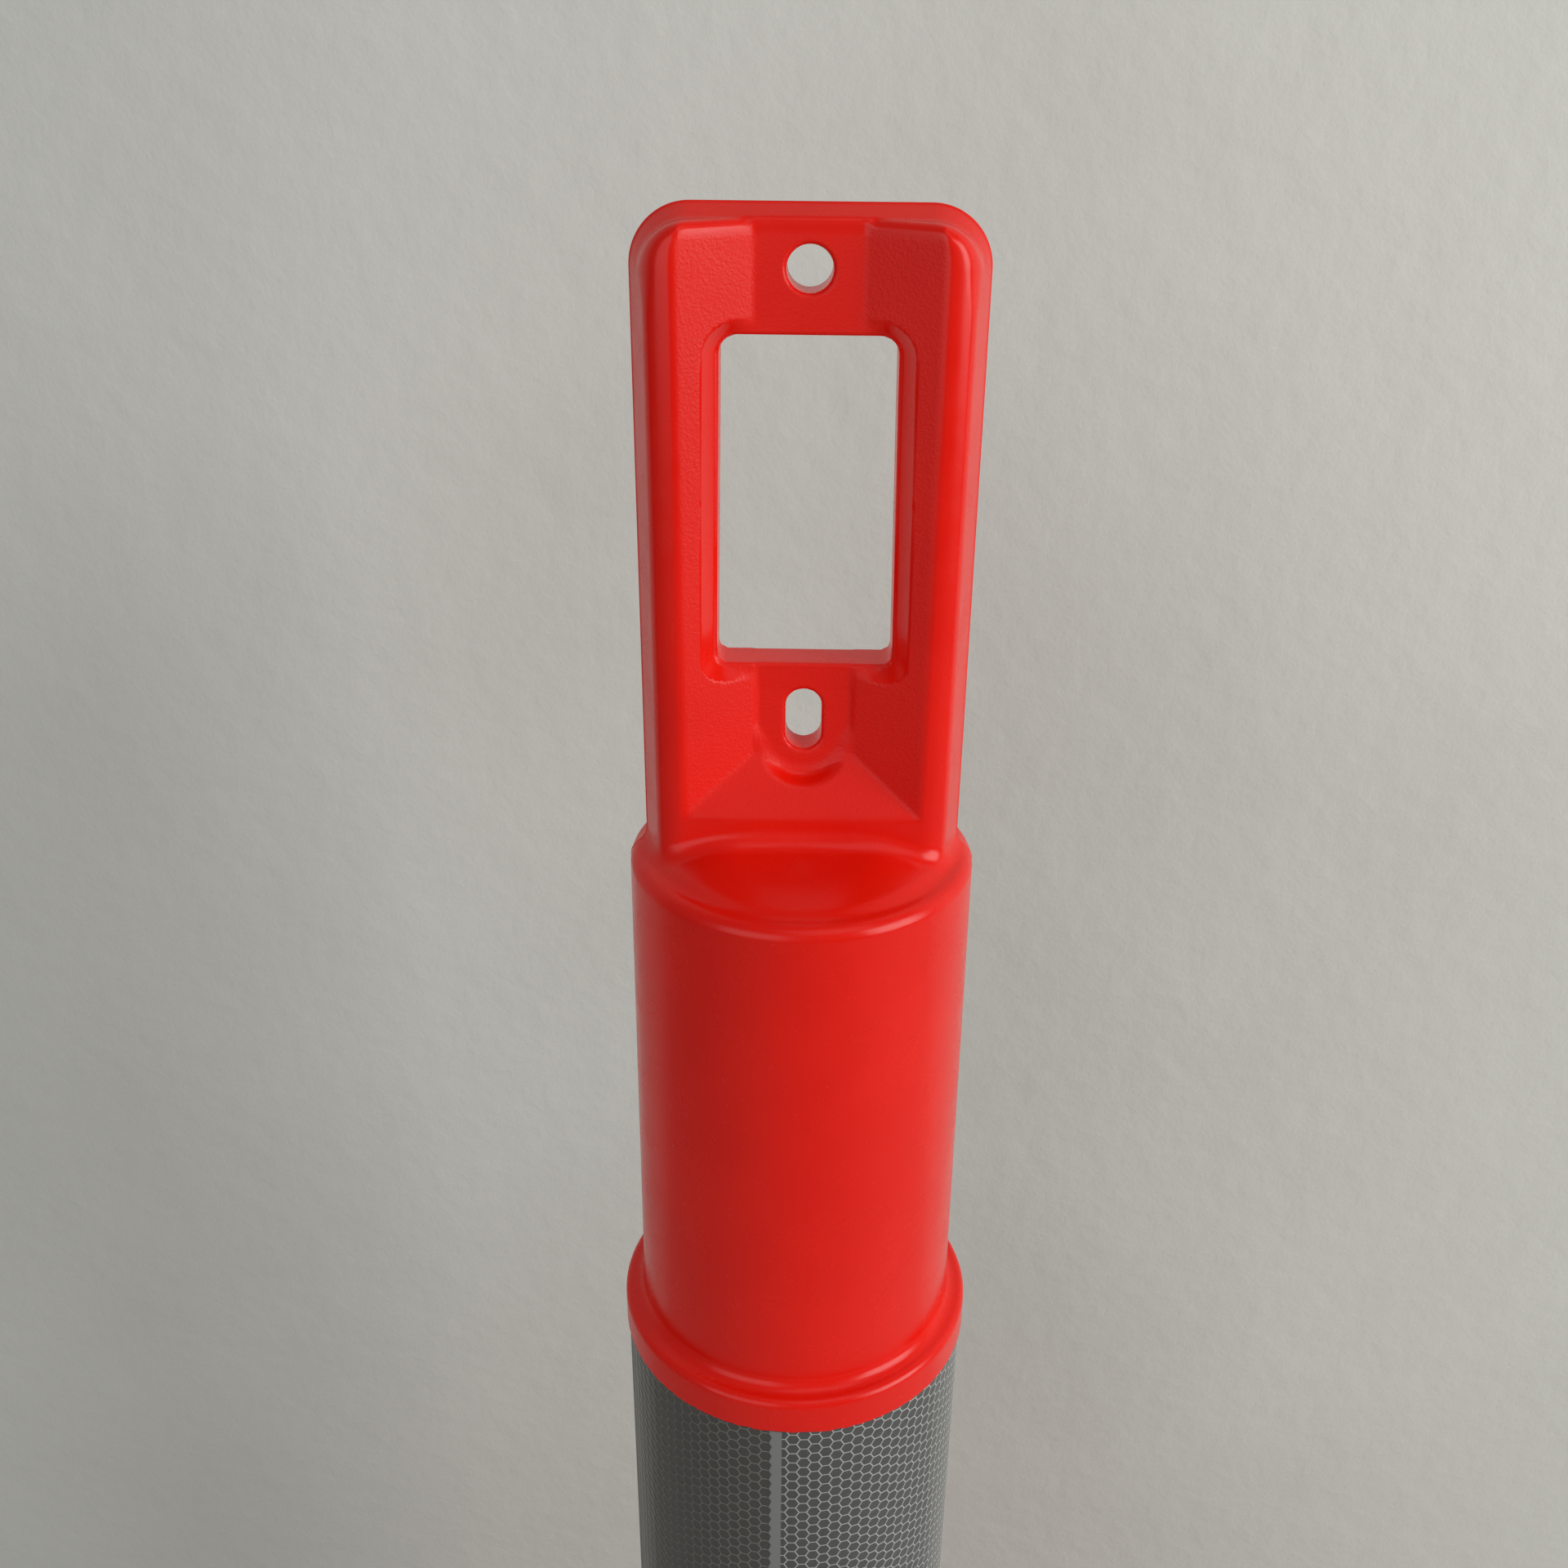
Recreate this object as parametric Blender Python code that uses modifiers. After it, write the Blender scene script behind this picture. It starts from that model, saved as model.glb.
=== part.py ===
"""Portable traffic delineator post, in metres, standing on the floor at z = 0.

A hollow loop-handled head plugs into a plastic tube and is held by flush rivets
under a wrapped reflective band. A foot with an eight-sided flange is riveted into
the tube's lower end. A heavy rubber base drops over the head and rests on the
flange, so the post carries its base when it is picked up by the handle.
"""
import math

import bmesh
import bpy
from mathutils import Matrix

# ---- overall ---------------------------------------------------------------
TOTAL_HEIGHT = 1.150
HEAD_HEIGHT = 0.3536        # top of the loop to the rim's lower edge
CLEARANCE = 0.0003          # gap between pieces that touch
ROUND_STEPS = 64

# ---- tube and reflective band ----------------------------------------------
TUBE_RADIUS = 0.055
TUBE_WALL = 0.003
BAND_HEIGHT = 0.250
BAND_THICKNESS = 0.0005
BAND_SEAM = 0.001           # gap between the two ends of the wrapped sheet

# ---- head: neck, rim and spigot ---------------------------------------------
HEAD_WALL = 0.003
NECK_TOP_SETBACK = 0.0053   # neck inside the tube's outer face, at its two ends
NECK_LOW_SETBACK = 0.0046
SHOULDER_DROP = 0.1688      # loop top to the top of the shoulder
SHOULDER_FLAT_RADIUS = 0.0165
SHOULDER_STEP_SETBACK = 0.0077
SHOULDER_STEP_DROP = 0.0070
SHOULDER_ROUNDING = 0.0035
RIM_OVERHANG = 0.0008       # rim beyond the band
RIM_HEIGHT = 0.0125
RIM_ROUNDING = 0.0025
SPIGOT_LENGTH = 0.060
SPIGOT_CHAMFER = 0.0015

# ---- head: loop handle -------------------------------------------------------
LOOP_SETBACK = 0.0046       # loop's side inside the neck's edge
LOOP_CORNER = 0.0155
LOOP_HALF_DEPTH = 0.016
LOOP_DRAFT = 0.0043         # how much narrower the front edge is than the middle
LOOP_ROUNDING = 0.0040
PAD_HALF_WIDTH = 0.0136
PAD_HALF_DEPTH = 0.0062
EDGE_WIDTH = 0.0121         # loop's side to where the sloping facets start
RAMP_TOP_DROP = 0.1455
RAMP_LOW_DROP = 0.1610
STILE_WIDTH = 0.02185       # plastic on each side of the window
WINDOW_TOP_DROP = 0.0310
WINDOW_HEIGHT = 0.0875
WINDOW_CORNER = 0.0046
HOLE_DROP = 0.0151
HOLE_RADIUS = 0.0058
SLOT_DROP = 0.1355
SLOT_RADIUS = 0.0050
SLOT_LENGTH = 0.0180

# ---- foot ----------------------------------------------------------------------
FLANGE_FLATS = 0.170
FLANGE_THICKNESS = 0.008
FLANGE_SIDE_CLEARANCE = 0.0015
FOOT_SPIGOT_LENGTH = 0.052

# ---- rivets -------------------------------------------------------------------
RIVETS_PER_RING = 4
RIVET_SHANK = 0.0024
RIVET_HEAD = 0.0045
RIVET_HEAD_DEPTH = 0.0021
RIVET_EDGE = 0.0003
RIVET_BULB = 0.0038
RIVET_BULB_LENGTH = 0.0030
RIVET_SINK = 0.0002         # head face below the tube's surface
HEAD_RIVET_DROP = 0.025     # below the rim's lower edge
FOOT_RIVET_RISE = 0.026     # above the flange
RIVET_STEPS = 16

# ---- rubber base ------------------------------------------------------------------
BASE_FLATS = 0.400
BASE_TOP_FLATS = 0.230
BASE_SIDE_HEIGHT = 0.024
BASE_SLOPE_HEIGHT = 0.032
COLLAR_WIDTH = 0.016
COLLAR_HEIGHT = 0.006
BORE_CLEARANCE = 0.0024     # between the bore and the head's rim
GRIP_LENGTH = 0.095
GRIP_WIDTH = 0.028
GRIP_EDGE = 0.030           # rubber left outside a grip

# ---- sizes that follow ---------------------------------------------------------
BAND_INNER = TUBE_RADIUS + CLEARANCE
BAND_OUTER = BAND_INNER + BAND_THICKNESS
RIM_RADIUS = BAND_OUTER + RIM_OVERHANG
NECK_TOP_RADIUS = TUBE_RADIUS - NECK_TOP_SETBACK
NECK_LOW_RADIUS = TUBE_RADIUS - NECK_LOW_SETBACK
SHOULDER_STEP_RADIUS = NECK_TOP_RADIUS - SHOULDER_STEP_SETBACK
LOOP_HALF_WIDTH = NECK_TOP_RADIUS - LOOP_SETBACK
FACET_HALF_WIDTH = LOOP_HALF_WIDTH - EDGE_WIDTH
WINDOW_HALF_WIDTH = LOOP_HALF_WIDTH - STILE_WIDTH
SPIGOT_RADIUS = TUBE_RADIUS - TUBE_WALL - CLEARANCE
SPIGOT_BORE = SPIGOT_RADIUS - HEAD_WALL
RIM_Z = TOTAL_HEIGHT - HEAD_HEIGHT
SHOULDER_Z = TOTAL_HEIGHT - SHOULDER_DROP
BORE_RADIUS = RIM_RADIUS + BORE_CLEARANCE
BASE_TOP_Z = BASE_SIDE_HEIGHT + BASE_SLOPE_HEIGHT
OVERCUT = 0.005             # how far a cutter runs past the faces it cuts

parts = None
cutters = None


def clear_scene():
    for obj in list(bpy.data.objects):
        bpy.data.objects.remove(obj, do_unlink=True)


def new_collection(name):
    collection = bpy.data.collections.new(name)
    bpy.context.scene.collection.children.link(collection)
    return collection


def material(name, colour, roughness, metallic=0.0):
    mat = bpy.data.materials.new(name)
    mat.use_nodes = True
    shader = mat.node_tree.nodes["Principled BSDF"]
    shader.inputs["Base Color"].default_value = (*colour, 1.0)
    shader.inputs["Roughness"].default_value = roughness
    shader.inputs["Metallic"].default_value = metallic
    return mat


def add_object(name, mesh, mat=None):
    """Link a mesh as a part, or as a hidden cutter when it has no material."""
    obj = bpy.data.objects.new(name, mesh)
    if mat:
        mesh.materials.append(mat)
        parts.objects.link(obj)
    else:
        cutters.objects.link(obj)
        obj.hide_render = True
        obj.display_type = 'WIRE'
    return obj


def mesh_from(bm, name):
    mesh = bpy.data.meshes.new(name)
    bm.to_mesh(mesh)
    bm.free()
    return mesh


def boolean(obj, other, operation='DIFFERENCE'):
    modifier = obj.modifiers.new(other.name, 'BOOLEAN')
    modifier.operation = operation
    modifier.object = other
    return obj


def turned(name, profile, mat=None, steps=ROUND_STEPS, closed=False):
    """Turn (radius, height) points about Z. They run down the outer side."""
    bm = bmesh.new()
    verts = [bm.verts.new((radius, 0.0, height)) for radius, height in profile]
    for first, second in zip(verts, verts[1:]):
        bm.edges.new((first, second))
    if closed:
        bm.edges.new((verts[-1], verts[0]))
    obj = add_object(name, mesh_from(bm, name), mat)
    screw = obj.modifiers.new("turn", 'SCREW')
    screw.axis = 'Z'
    screw.steps = steps
    screw.render_steps = steps
    screw.use_merge_vertices = True
    screw.merge_threshold = 0.00001
    return obj


def ring(name, inner, outer, low, high, mat=None):
    profile = [(inner, high), (outer, high), (outer, low), (inner, low)]
    return turned(name, profile, mat, closed=True)


def disc(name, radius, low, high, mat=None, steps=ROUND_STEPS):
    return turned(name, [(0.0, high), (radius, high), (radius, low), (0.0, low)], mat, steps)


def octagon(name, flats_low, flats_high, low, high, mat=None):
    """An eight-sided block with a flat facing each of X and Y."""
    to_corner = 0.5 / math.cos(math.pi / 8)
    bm = bmesh.new()
    bmesh.ops.create_cone(
        bm, cap_ends=True, segments=8, depth=high - low,
        radius1=flats_low * to_corner, radius2=flats_high * to_corner,
        matrix=Matrix.Translation((0.0, 0.0, (low + high) / 2)) @ Matrix.Rotation(math.pi / 8, 4, 'Z'))
    return add_object(name, mesh_from(bm, name), mat)


def arc(centre_x, centre_z, radius, start, end, steps):
    """Points on an arc in the XZ plane, angles in degrees."""
    points = []
    for step in range(steps + 1):
        angle = math.radians(start + (end - start) * step / steps)
        points.append((centre_x + radius * math.cos(angle), centre_z + radius * math.sin(angle)))
    return points


def loft(name, layers, mat=None):
    """Join outlines of equal length. A layer is (y, [(x, z), ...]), front to back."""
    bm = bmesh.new()
    rows = [[bm.verts.new((x, y, z)) for x, z in outline] for y, outline in layers]
    bm.faces.new(rows[0])
    bm.faces.new(reversed(rows[-1]))
    for near, far in zip(rows, rows[1:]):
        for index in range(len(near)):
            after = (index + 1) % len(near)
            bm.faces.new((near[index], far[index], far[after], near[after]))
    bmesh.ops.recalc_face_normals(bm, faces=bm.faces)
    return add_object(name, mesh_from(bm, name), mat)


def through_y(name, outline, reach):
    """A cutter of one outline that runs through the loop from front to back."""
    return loft(name, [(-reach, outline), (reach, outline)])


def rounded_box(half_width, low, high, corner, steps=5):
    side = half_width - corner
    return (arc(side, low + corner, corner, -90, 0, steps)
            + arc(side, high - corner, corner, 0, 90, steps)
            + arc(-side, high - corner, corner, 90, 180, steps)
            + arc(-side, low + corner, corner, 180, 270, steps))


# ---- head ---------------------------------------------------------------------

def neck_outline(wall):
    """Shoulder and neck, from the axis to just above the rim, moved in by wall."""
    step_z = SHOULDER_Z - SHOULDER_STEP_DROP
    edge_radius = NECK_TOP_RADIUS - SHOULDER_ROUNDING
    edge_z = step_z - SHOULDER_ROUNDING / 2
    points = [(0.0, SHOULDER_Z - wall), (SHOULDER_FLAT_RADIUS, SHOULDER_Z - wall)]
    points.append((SHOULDER_STEP_RADIUS - wall / 2, step_z - wall))
    points += [(radius - wall / 2, z - wall / 2) for radius, z in
               arc(edge_radius, edge_z - SHOULDER_ROUNDING, SHOULDER_ROUNDING, 90, 0, 4)]
    points[-1] = (NECK_TOP_RADIUS - wall, points[-1][1])
    return points


def head_outside():
    profile = neck_outline(0.0)
    rim_top = RIM_Z + RIM_HEIGHT
    profile.append((NECK_LOW_RADIUS, rim_top + RIM_ROUNDING))
    profile.append((NECK_LOW_RADIUS + RIM_ROUNDING / 2, rim_top + RIM_ROUNDING / 3))
    profile.append((RIM_RADIUS - RIM_ROUNDING, rim_top))
    profile += arc(RIM_RADIUS - RIM_ROUNDING, rim_top - RIM_ROUNDING, RIM_ROUNDING, 60, 0, 2)
    profile.append((RIM_RADIUS, RIM_Z))
    profile.append((SPIGOT_RADIUS, RIM_Z))
    profile.append((SPIGOT_RADIUS, RIM_Z - SPIGOT_LENGTH + SPIGOT_CHAMFER))
    profile.append((SPIGOT_RADIUS - SPIGOT_CHAMFER, RIM_Z - SPIGOT_LENGTH))
    profile.append((0.0, RIM_Z - SPIGOT_LENGTH))
    return profile


def head_inside():
    profile = neck_outline(HEAD_WALL)
    low_radius = NECK_LOW_RADIUS - HEAD_WALL
    profile.append((low_radius, RIM_Z + RIM_HEIGHT))
    profile.append((SPIGOT_BORE, RIM_Z))
    profile.append((SPIGOT_BORE, RIM_Z - SPIGOT_LENGTH - OVERCUT))
    profile.append((0.0, RIM_Z - SPIGOT_LENGTH - OVERCUT))
    return profile


def loop_outline(inset, low):
    """The loop's outline, moved in by inset, with its two rounded upper corners."""
    half = LOOP_HALF_WIDTH - inset
    top = TOTAL_HEIGHT - inset
    corner = LOOP_CORNER - inset / 2
    points = [(-half, low), (half, low)]
    points += arc(half - corner, top - corner, corner, 0, 90, 7)
    points += arc(corner - half, top - corner, corner, 90, 180, 7)
    return points


def loop_block(name, wall):
    """The loop before it is cut: widest at the parting plane, drafted both ways."""
    depth = LOOP_HALF_DEPTH - wall
    low = SHOULDER_Z - SHOULDER_STEP_DROP - 2 * HEAD_WALL - wall
    rounding = LOOP_ROUNDING if wall == 0.0 else LOOP_ROUNDING / 2
    half = [(depth, wall + LOOP_DRAFT + rounding),
            (depth - rounding / 4, wall + LOOP_DRAFT + rounding / 3),
            (depth - rounding, wall + LOOP_DRAFT)]
    layers = [(-y, loop_outline(inset, low)) for y, inset in half]
    layers.append((0.0, loop_outline(wall, low)))
    layers += [(y, loop_outline(inset, low)) for y, inset in reversed(half)]
    return loft(name, layers)


def dish(name, side, grow):
    """The hollow in one face of the loop: a flat pad between two sloping facets,
    with a ramp at its lower end. grow moves its walls into the plastic."""
    facet_angle = math.atan2(LOOP_HALF_DEPTH - PAD_HALF_DEPTH, FACET_HALF_WIDTH - PAD_HALF_WIDTH)
    ramp_angle = math.atan2(LOOP_HALF_DEPTH - PAD_HALF_DEPTH, RAMP_LOW_DROP - RAMP_TOP_DROP)

    def opening(depth):
        out = depth - PAD_HALF_DEPTH
        half = PAD_HALF_WIDTH + out / math.tan(facet_angle) + grow / math.sin(facet_angle)
        low = TOTAL_HEIGHT - RAMP_TOP_DROP - out / math.tan(ramp_angle) - grow / math.sin(ramp_angle)
        high = TOTAL_HEIGHT + OVERCUT
        return [(-half, low), (half, low), (half, high), (-half, high)]

    near = LOOP_HALF_DEPTH + OVERCUT / 10
    far = PAD_HALF_DEPTH - grow
    return loft(name, [(side * near, opening(near)), (side * far, opening(far))])


def loop_openings(name, grow, reach):
    """Window, round hole and slot, as three cutters that run front to back."""
    window_high = TOTAL_HEIGHT - WINDOW_TOP_DROP + grow
    window_low = TOTAL_HEIGHT - WINDOW_TOP_DROP - WINDOW_HEIGHT - grow
    window = rounded_box(WINDOW_HALF_WIDTH + grow, window_low, window_high, WINDOW_CORNER + grow)
    hole = arc(0.0, TOTAL_HEIGHT - HOLE_DROP, HOLE_RADIUS + grow, 0, 345, 23)
    slot_z = TOTAL_HEIGHT - SLOT_DROP
    straight = SLOT_LENGTH / 2 - SLOT_RADIUS
    slot = (arc(0.0, slot_z + straight, SLOT_RADIUS + grow, 0, 180, 10)
            + arc(0.0, slot_z - straight, SLOT_RADIUS + grow, 180, 360, 10))
    outlines = {"window": window, "hole": hole, "slot": slot}
    return [through_y(f"{name}_{key}", outline, reach) for key, outline in outlines.items()]


def make_head(mat):
    reach = LOOP_HALF_DEPTH + OVERCUT
    cavity = turned("head_cavity", head_inside())
    cavity_loop = loop_block("head_cavity_loop", HEAD_WALL)
    for side in (-1, 1):
        boolean(cavity_loop, dish(f"cavity_dish_{side + 1}", side, HEAD_WALL))
    for cutter in loop_openings("cavity", HEAD_WALL, reach):
        boolean(cavity_loop, cutter)
    boolean(cavity, cavity_loop, 'UNION')

    head_loop = loop_block("head_loop", 0.0)
    for side in (-1, 1):
        boolean(head_loop, dish(f"dish_{side + 1}", side, 0.0))
    for cutter in loop_openings("loop", 0.0, reach):
        boolean(head_loop, cutter)

    head = turned("handle_head", head_outside(), mat)
    boolean(head, head_loop, 'UNION')
    boolean(head, cavity)
    cut_rivet_holes(head, "head_rivet_hole", RIM_Z - HEAD_RIVET_DROP)
    return head


# ---- rivets ----------------------------------------------------------------------

def rivet_axis(index, height):
    """A frame on the tube's surface whose Z points out along the rivet."""
    angle = math.pi / 4 + index * 2 * math.pi / RIVETS_PER_RING
    turn = Matrix.Rotation(angle, 4, 'Z') @ Matrix.Rotation(math.pi / 2, 4, 'Y')
    place = Matrix.Translation((0.0, 0.0, height)) @ turn
    return place @ Matrix.Translation((0.0, 0.0, TUBE_RADIUS - RIVET_SINK))


def rivet_profile():
    inside = -(TUBE_RADIUS - RIVET_SINK - SPIGOT_BORE + CLEARANCE)
    end = inside - RIVET_BULB_LENGTH
    return [(0.0, 0.0), (RIVET_HEAD, 0.0), (RIVET_HEAD, -RIVET_EDGE), (RIVET_SHANK, -RIVET_HEAD_DEPTH),
            (RIVET_SHANK, inside), (RIVET_BULB, inside), (RIVET_BULB, (inside + end) / 2),
            (RIVET_SHANK, end), (0.0, end)]


def rivet_hole_profile():
    head = RIVET_HEAD + CLEARANCE
    shank = RIVET_SHANK + CLEARANCE
    return [(0.0, OVERCUT), (head, OVERCUT), (head, -RIVET_EDGE - CLEARANCE / 2),
            (shank, -RIVET_HEAD_DEPTH - CLEARANCE / 2), (shank, -3 * OVERCUT), (0.0, -3 * OVERCUT)]


def cut_rivet_holes(obj, name, height):
    for index in range(RIVETS_PER_RING):
        cutter = turned(f"{name}_{obj.name}_{index + 1}", rivet_hole_profile(), steps=RIVET_STEPS)
        cutter.matrix_world = rivet_axis(index, height)
        boolean(obj, cutter)


def make_rivets(name, height, mat):
    for index in range(RIVETS_PER_RING):
        rivet = turned(f"{name}_{index + 1}", rivet_profile(), mat, steps=RIVET_STEPS)
        rivet.matrix_world = rivet_axis(index, height)


# ---- tube, band, foot and base -----------------------------------------------------

def head_rivet_height():
    return RIM_Z - HEAD_RIVET_DROP


def foot_rivet_height():
    return FLANGE_THICKNESS + FOOT_RIVET_RISE


def make_tube(mat):
    tube = ring("post_tube", TUBE_RADIUS - TUBE_WALL, TUBE_RADIUS,
                FLANGE_THICKNESS + CLEARANCE, RIM_Z - CLEARANCE, mat)
    cut_rivet_holes(tube, "tube_hole_high", head_rivet_height())
    cut_rivet_holes(tube, "tube_hole_low", foot_rivet_height())


def make_band(mat):
    high = RIM_Z - CLEARANCE
    band = ring("reflective_band", BAND_INNER, BAND_OUTER, high - BAND_HEIGHT, high, mat)
    bm = bmesh.new()
    size = Matrix.Diagonal((BAND_SEAM, 2 * OVERCUT, BAND_HEIGHT + 2 * OVERCUT, 1.0))
    middle = Matrix.Translation((0.0, BAND_OUTER, high - BAND_HEIGHT / 2))
    bmesh.ops.create_cube(bm, size=1.0, matrix=middle @ size)
    boolean(band, add_object("band_seam", mesh_from(bm, "band_seam")))


def make_foot(mat):
    foot = octagon("foot_flange", FLANGE_FLATS, FLANGE_FLATS, 0.0, FLANGE_THICKNESS, mat)
    top = FLANGE_THICKNESS + FOOT_SPIGOT_LENGTH
    boolean(foot, disc("foot_spigot", SPIGOT_RADIUS, FLANGE_THICKNESS / 2, top), 'UNION')
    boolean(foot, disc("foot_bore", SPIGOT_BORE, -OVERCUT, top + OVERCUT))
    cut_rivet_holes(foot, "foot_hole", foot_rivet_height())


def grip_outline():
    """A round-ended slot along X, in the XY plane."""
    radius = GRIP_WIDTH / 2
    straight = GRIP_LENGTH / 2 - radius
    return arc(straight, 0.0, radius, -90, 90, 8) + arc(-straight, 0.0, radius, 90, 270, 8)


def make_base(mat):
    base = octagon("rubber_base", BASE_FLATS, BASE_FLATS, 0.0, BASE_SIDE_HEIGHT, mat)
    slope = octagon("base_slope", BASE_FLATS, BASE_TOP_FLATS, BASE_SIDE_HEIGHT, BASE_TOP_Z)
    collar_top = BASE_TOP_Z + COLLAR_HEIGHT
    collar = disc("base_collar", BORE_RADIUS + COLLAR_WIDTH, BASE_SIDE_HEIGHT, collar_top)
    boolean(base, slope, 'UNION')
    boolean(base, collar, 'UNION')
    boolean(base, disc("base_bore", BORE_RADIUS, -OVERCUT, collar_top + OVERCUT))
    pocket_flats = FLANGE_FLATS + 2 * FLANGE_SIDE_CLEARANCE
    pocket_top = FLANGE_THICKNESS + CLEARANCE
    boolean(base, octagon("foot_pocket", pocket_flats, pocket_flats, -OVERCUT, pocket_top))
    grip_y = BASE_FLATS / 2 - GRIP_EDGE - GRIP_WIDTH / 2
    reach = BASE_TOP_Z + OVERCUT
    for index, side in enumerate((-1, 1)):
        grip = through_y(f"base_grip_{index + 1}", grip_outline(), reach)
        grip.matrix_world = Matrix.Translation((0.0, side * grip_y, 0.0)) @ Matrix.Rotation(math.pi / 2, 4, 'X')
        boolean(base, grip)


def shade(collection):
    """Smooth the round faces and keep the real edges sharp."""
    for obj in collection.objects:
        obj.data.shade_smooth()
        obj.data.set_sharp_from_angle(angle=math.radians(35))


def main():
    global parts, cutters
    clear_scene()
    parts = new_collection("traffic_delineator_post")
    cutters = new_collection("cutters")
    red_plastic = material("red_plastic", (0.72, 0.035, 0.018), 0.32)
    tube_plastic = material("tube_plastic", (0.70, 0.040, 0.018), 0.38)
    film = material("reflective_film", (0.34, 0.35, 0.34), 0.20, 0.35)
    foot_plastic = material("foot_plastic", (0.020, 0.020, 0.022), 0.45)
    alloy = material("rivet_alloy", (0.62, 0.63, 0.64), 0.35, 1.0)
    rubber = material("recycled_rubber", (0.018, 0.018, 0.018), 0.80)
    make_head(red_plastic)
    make_tube(tube_plastic)
    make_band(film)
    make_foot(foot_plastic)
    make_rivets("head_rivet", head_rivet_height(), alloy)
    make_rivets("foot_rivet", foot_rivet_height(), alloy)
    make_base(rubber)
    shade(parts)


main()
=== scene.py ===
"""Looks of the traffic delineator post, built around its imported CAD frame.

Lengths here are in millimetres, +Z up, with the post's axis at X = Y = 0 and its
front towards -Y. Meshes are scaled to metres as they are made.
"""
import math

import bmesh
import bpy
import numpy as np
from mathutils import Matrix, Vector


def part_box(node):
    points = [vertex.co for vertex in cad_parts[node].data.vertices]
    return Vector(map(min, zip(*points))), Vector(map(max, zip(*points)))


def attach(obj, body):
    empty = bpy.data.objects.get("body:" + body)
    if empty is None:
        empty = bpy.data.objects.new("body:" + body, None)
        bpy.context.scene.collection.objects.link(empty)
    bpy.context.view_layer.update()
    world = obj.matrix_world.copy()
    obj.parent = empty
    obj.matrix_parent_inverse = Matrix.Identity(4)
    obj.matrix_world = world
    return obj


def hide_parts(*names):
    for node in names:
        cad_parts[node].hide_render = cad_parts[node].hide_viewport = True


MM = 0.001
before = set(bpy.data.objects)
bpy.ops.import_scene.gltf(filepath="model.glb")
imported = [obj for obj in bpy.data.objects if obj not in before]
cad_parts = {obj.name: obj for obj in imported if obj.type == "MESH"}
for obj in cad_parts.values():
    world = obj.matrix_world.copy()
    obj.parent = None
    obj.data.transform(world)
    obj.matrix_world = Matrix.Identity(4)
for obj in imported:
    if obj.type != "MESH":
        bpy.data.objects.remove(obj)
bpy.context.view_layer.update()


def box_mm(node):
    """Lowest and highest corner of a CAD node, in millimetres."""
    low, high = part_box(node)
    return low / MM, high / MM


HEAD_LOW, HEAD_HIGH = box_mm("handle_head")
FILM_LOW, FILM_HIGH = box_mm("reflective_band")

# ---------------------------------------------------------------- head sizes
TOP_Z = HEAD_HIGH.z                  # crown of the handle
RIM_Z = TOP_Z - 353.6                # underside of the collar on the tube
SPIGOT_LOW_Z = HEAD_LOW.z
LOOP_HALF_WIDTH = 45.1               # at the parting plane
LOOP_CORNER = 15.5
SIDE_DRAFT = 0.346                   # inset per unit of depth from the parting plane
TOP_PITCH = 0.5                      # the top falls away from its ridge like a roof
TOP_DRAFT = 0.02                     # and hardly at all beyond the pads
TOP_ROUNDING = 2.4
CORNER_SHRINK = 0.36                 # the outer corners tighten away from the ridge
SEAM_HEIGHT = 0.2                    # ridge that the mould's parting leaves
SEAM_HALF_WIDTH = 0.35
LOOP_HALF_DEPTH = 16.0
CROWN_RADIUS = 11.7                  # soft crown along the handle's edge
CROWN_WIDTH = 12.1
CROWN_TOP_WIDTH = 6.2
CROWN_CORNER = 8.0
CROWN_SWEEP = 0.8 * CROWN_RADIUS     # the crown's arc runs straight on from here
PAD_HALF_WIDTH = 13.6
PAD_HALF_DEPTH = 6.2
FACET_SLOPE = (LOOP_HALF_DEPTH - PAD_HALF_DEPTH) / (33.0 - PAD_HALF_WIDTH)
EDGE_ROUNDING = 1.0
SOFT_DROP = 24.0                     # above this the loop's edges turn softer
SOFT_RISE = 10.0                     # over this height
SOFT_EASE = 2.0                      # and out from the pads' sides
FACET_FILLET = 0.4                   # in the creases between pad, facets and ramp
RAMP_FILLET = 0.6
CROWN_EASE = 0.5                     # between the facets and the crown

WINDOW_TOP_DROP = 31.0
WINDOW_HEIGHT = 87.5
WINDOW_HALF_WIDTH = 22.5             # at its top
WINDOW_TAPER = 1.3 / WINDOW_HEIGHT   # it widens downwards
WINDOW_CORNER = 4.6
WINDOW_LOW_CORNER = 2.99
WINDOW_LIP = 0.6                     # flat strip round it, at the pads' level
WINDOW_FLARE = 3.4                   # width of the slope from that strip up to the facets
WINDOW_ROUNDING = 0.8

HOLE_DROP = 15.1
HOLE_RADIUS = 5.8
SLOT_DROP = 135.5
SLOT_RADIUS = 5.0
SLOT_LENGTH = 18.0
BOLT_ROUNDING = 1.2

SEAT_RADIUS = 13.0                   # shallow washer seat round the slot
SEAT_DEPTH = 0.8
SEAT_FILLET = 4.0
SEAT_ROUNDING = 1.6
SEAT_RUN_OUT = 7.0                   # its sinking dies out towards the window
SEAT_END = 0.8                       # and is nothing this far under it
SEAT_TOP = 0.5                       # its wall stops this far under the window
SEAT_TIGHTEST = 0.2                  # share of its fillet that is left at the top
SEAT_FADE_Z = 4.0                    # above the seat's centre, where its fillet would be nothing
SEAT_FADE_RUN = 6.0                  # and this far down from there it is whole
RAMP_TOP_DROP = 145.5
RAMP_SLOPE = 9.8 / 15.5
FOOT_FILLET = 4.6

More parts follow.
